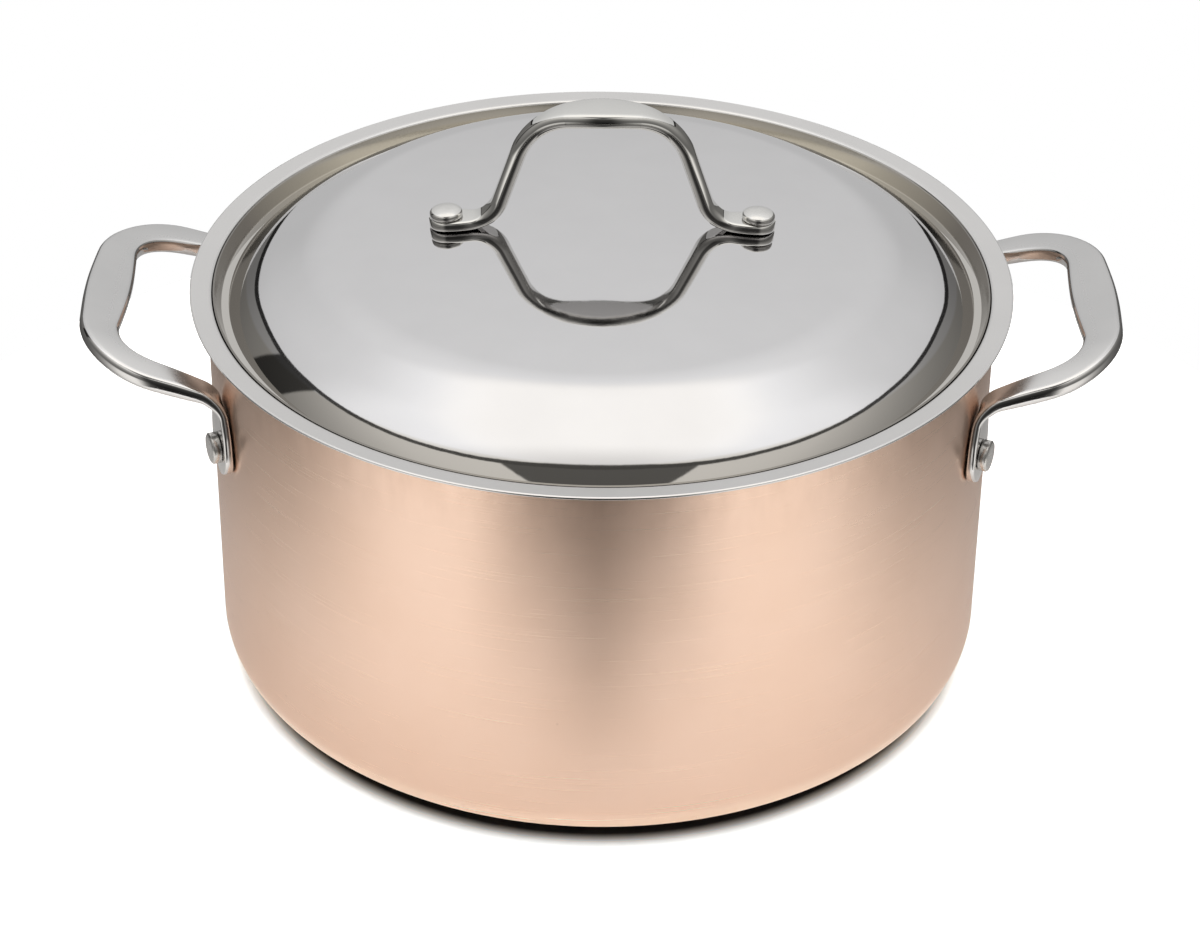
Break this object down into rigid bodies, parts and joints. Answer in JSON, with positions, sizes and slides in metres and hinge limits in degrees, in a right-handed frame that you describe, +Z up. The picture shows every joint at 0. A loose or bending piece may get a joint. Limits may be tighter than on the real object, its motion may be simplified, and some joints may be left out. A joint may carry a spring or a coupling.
{
  "type": "stockpot",
  "caption": "Clad stockpot with a copper outside, a stainless inside, two riveted side loop handles and a lift-off domed lid with a strap loop handle.",
  "frame": {"origin": "centre of the base, on the surface that the pot stands on", "axes": "+Z up along the pot's axis and the way the lid lifts; +X towards the right side handle; +Y towards the rear"},
  "size_m": [0.3748, 0.2966, 0.2154],
  "materials": {
    "brushed_copper": "brushed copper",
    "satin_steel": "satin stainless steel",
    "polished_steel": "mirror-polished stainless steel",
    "core_aluminium": "plain"
  },
  "bodies": {
    "pot": {"steel_liner": "satin_steel", "aluminium_core": "core_aluminium", "copper_shell": "brushed_copper", "left_side_handle": "satin_steel", "right_side_handle": "satin_steel", "left_front_rivet": "satin_steel", "left_rear_rivet": "satin_steel", "right_front_rivet": "satin_steel", "right_rear_rivet": "satin_steel"},
    "lid": {"lid_dome": "polished_steel", "lid_handle": "polished_steel", "lid_left_rivet": "polished_steel", "lid_right_rivet": "polished_steel"}
  },
  "joints": [
    {"name": "lid_lift", "type": "slide", "parent": "pot", "child": "lid", "axis": [0, 0, 1], "range_m": [0, 0.15]}
  ]
}
